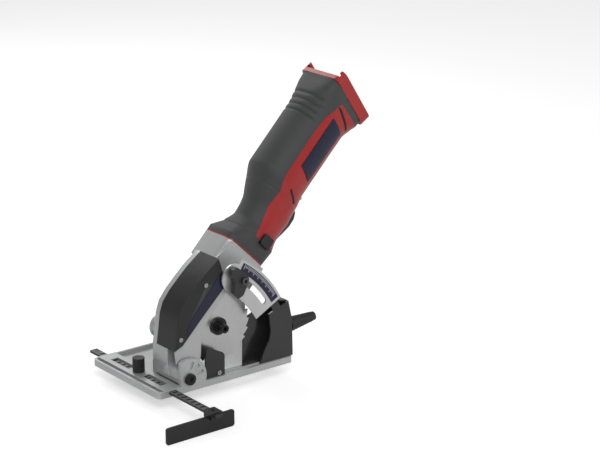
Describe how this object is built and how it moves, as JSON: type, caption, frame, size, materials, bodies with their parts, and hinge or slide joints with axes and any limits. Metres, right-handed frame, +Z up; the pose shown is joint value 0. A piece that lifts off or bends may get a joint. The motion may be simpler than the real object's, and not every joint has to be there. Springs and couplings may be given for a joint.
{
  "type": "circular saw",
  "caption": "Small cordless plunge-cut circular saw with a hinged cast head, depth stop, parallel guide and an open battery foot.",
  "frame": {"origin": "centre of the base plate's flat working face", "axes": "+X from the plunge hinge towards the handle, +Y away from the blade side, +Z up"},
  "size_m": [0.3668, 0.258, 0.3547],
  "materials": {
    "cast_silver": "satin sprayed die casting",
    "depth_plate": "satin anodised plate",
    "black_plastic": "fine moulded grain",
    "guide_steel": "black oxide",
    "navy_print": "printed film",
    "soft_grip": "soft moulded cover",
    "chute_rubber": "ribbed rubber",
    "red_plastic": "moulded plastic",
    "blade_steel": "ground and polished",
    "black_steel": "black oxide",
    "bearing_steel": "bright steel",
    "motor_steel": "zinc plated",
    "copper_core": "copper windings",
    "carbon": "carbon",
    "board_green": "coated board"
  },
  "bodies": {
    "base": {"base_plate": "cast_silver", "pivot_bolt": "black_steel", "pivot_nut": "black_steel", "return_spring": "bearing_steel", "rear_guard": "black_plastic", "guard_screws": "bearing_steel", "front_guard": "black_plastic", "front_guard_screw": "bearing_steel", "arc_plate": "depth_plate", "arc_scale": "navy_print", "arc_rivets": "bearing_steel", "chip_chute": "chute_rubber"},
    "head": {"gear_housing": "cast_silver", "upper_guard": "cast_silver", "front_cover": "black_plastic", "cover_panel": "navy_print", "cover_screws": "bearing_steel", "gearbox_cover": "cast_silver", "gearbox_screws": "bearing_steel", "spindle_bearing_near": "bearing_steel", "spindle_bearing_far": "bearing_steel", "shaft_bearing_front": "bearing_steel", "shaft_bearing_rear": "bearing_steel", "dust_port": "cast_silver", "collar_ring": "red_plastic", "collar": "soft_grip", "collar_screws": "bearing_steel", "housing_left": "red_plastic", "housing_right": "red_plastic", "grip_cover": "soft_grip", "badge_left": "navy_print", "badge_right": "navy_print", "housing_screws": "bearing_steel", "motor_can": "motor_steel", "motor_magnets": "motor_steel", "motor_end_cap": "black_plastic", "motor_brushes": "carbon", "switch_body": "black_plastic", "control_board": "board_green", "battery_foot": "red_plastic", "battery_terminals": "black_plastic", "trigger_pin": "bearing_steel"},
    "spindle": {"spindle": "bearing_steel", "bevel_gear": "bearing_steel", "inner_flange": "black_steel", "blade": "blade_steel", "outer_flange": "black_steel", "blade_bolt": "black_steel"},
    "rotor": {"drive_shaft": "bearing_steel", "bevel_pinion": "bearing_steel", "rotor_core": "copper_core", "fan": "black_plastic"},
    "depth_clamp": {"clamp_bolt": "black_steel"},
    "clamp_lever": {"clamp_lever": "black_plastic"},
    "guide": {"guide_bar": "guide_steel", "fence": "black_plastic"},
    "guide_knob": {"guide_knob": "black_plastic"},
    "trigger": {"trigger": "black_plastic"},
    "lock_off_button": {"lock_off_button": "black_plastic"},
    "spindle_lock": {"spindle_lock": "black_plastic"}
  },
  "joints": [
    {"name": "plunge", "type": "hinge", "parent": "base", "child": "head", "pos_m": [-0.0576, 0, 0.0154], "axis": [0, 1, 0], "range_deg": [0, 40], "stiffness_Nm_per_rad": 5, "springref_deg": -40.11},
    {"name": "blade_spin", "type": "hinge", "parent": "head", "child": "spindle", "pos_m": [-0.00693, -0.04, 0.06485], "axis": [0, 1, 0], "continuous": true},
    {"name": "motor_spin", "type": "hinge", "parent": "head", "child": "rotor", "pos_m": [-0.00693, -0.02, 0.06485], "axis": [0.6561, 0, 0.7547], "continuous": true},
    {"name": "depth_slide", "type": "hinge", "parent": "base", "child": "depth_clamp", "pos_m": [-0.0576, 0, 0.0154], "axis": [0, 1, 0], "range_deg": [0, 22]},
    {"name": "lever_turn", "type": "hinge", "parent": "depth_clamp", "child": "clamp_lever", "pos_m": [0.01518, -0.075, 0.1213], "axis": [0, 1, 0], "range_deg": [0, 45]},
    {"name": "guide_slide", "type": "slide", "parent": "base", "child": "guide", "axis": [0, 1, 0], "range_m": [-0.06, 0.06]},
    {"name": "knob_turn", "type": "hinge", "parent": "base", "child": "guide_knob", "pos_m": [-0.081, 0, 0.012], "axis": [0, 0, 1], "range_deg": [0, 360]},
    {"name": "trigger_pull", "type": "hinge", "parent": "head", "child": "trigger", "pos_m": [0.09631, -0.02, 0.14262], "axis": [0, 1, 0], "range_deg": [-4, 0], "stiffness_Nm_per_rad": 0.6, "springref_deg": 5.73},
    {"name": "lock_off_push", "type": "slide", "parent": "head", "child": "lock_off_button", "axis": [0, 1, 0], "range_m": [0, 0.0015], "stiffness_N_per_m": 600, "springref_m": -0.002},
    {"name": "spindle_lock_push", "type": "slide", "parent": "head", "child": "spindle_lock", "axis": [0, -1, 0], "range_m": [0, 0.004], "stiffness_N_per_m": 400, "springref_m": -0.003}
  ],
  "couplings": [
    {"joint": "motor_spin", "follows": "blade_spin", "ratio": 3.3333}
  ]
}
